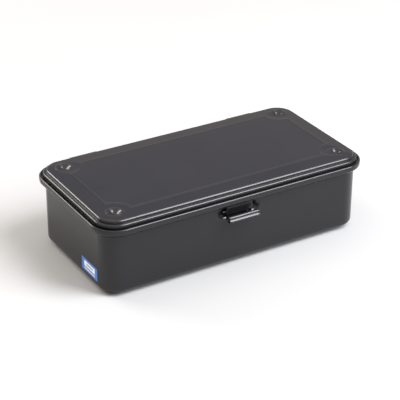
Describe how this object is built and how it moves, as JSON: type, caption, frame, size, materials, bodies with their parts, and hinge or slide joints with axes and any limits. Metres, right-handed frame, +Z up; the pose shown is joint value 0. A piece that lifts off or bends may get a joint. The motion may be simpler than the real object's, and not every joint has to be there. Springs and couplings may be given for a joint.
{
  "type": "small hinged steel box",
  "caption": "Small black pressed-steel trunk box: rolled-rim tray, rear-hinged lid with stacking dishes, and a sprung finger latch in the front wall.",
  "frame": {"origin": "middle of the overall footprint, at the level of the four feet", "axes": "+X along the length, +Y towards the hinges, +Z up; the latch is on the -Y side"},
  "size_m": [0.203, 0.1094, 0.0555],
  "materials": {
    "black_paint": "satin black stoved paint",
    "zinc_steel": "bright zinc plate",
    "printed_label": "printed film, blue with white"
  },
  "bodies": {
    "tray": {"body_tray": "black_paint", "latch_pin": "zinc_steel", "latch_spring": "zinc_steel", "side_label": "printed_label", "hinge_left_body_leaf": "black_paint", "hinge_left_pin": "zinc_steel", "hinge_left_rivet_1": "zinc_steel", "hinge_left_rivet_2": "zinc_steel", "hinge_left_rivet_3": "zinc_steel", "hinge_left_rivet_4": "zinc_steel", "hinge_right_body_leaf": "black_paint", "hinge_right_pin": "zinc_steel", "hinge_right_rivet_1": "zinc_steel", "hinge_right_rivet_2": "zinc_steel", "hinge_right_rivet_3": "zinc_steel", "hinge_right_rivet_4": "zinc_steel"},
    "lid": {"lid_shell": "black_paint", "lid_keeper": "black_paint", "hinge_left_lid_leaf": "black_paint", "hinge_right_lid_leaf": "black_paint"},
    "latch": {"latch_lever": "black_paint"}
  },
  "joints": [
    {"name": "lid_hinge", "type": "hinge", "parent": "tray", "child": "lid", "pos_m": [0, 0.05332, 0.0502], "axis": [-1, 0, 0], "range_deg": [0, 110]},
    {"name": "latch_press", "type": "hinge", "parent": "tray", "child": "latch", "pos_m": [0, -0.04448, 0.0394], "axis": [1, 0, 0], "range_deg": [0, 8], "stiffness_Nm_per_rad": 0.1, "springref_deg": -11.46}
  ]
}
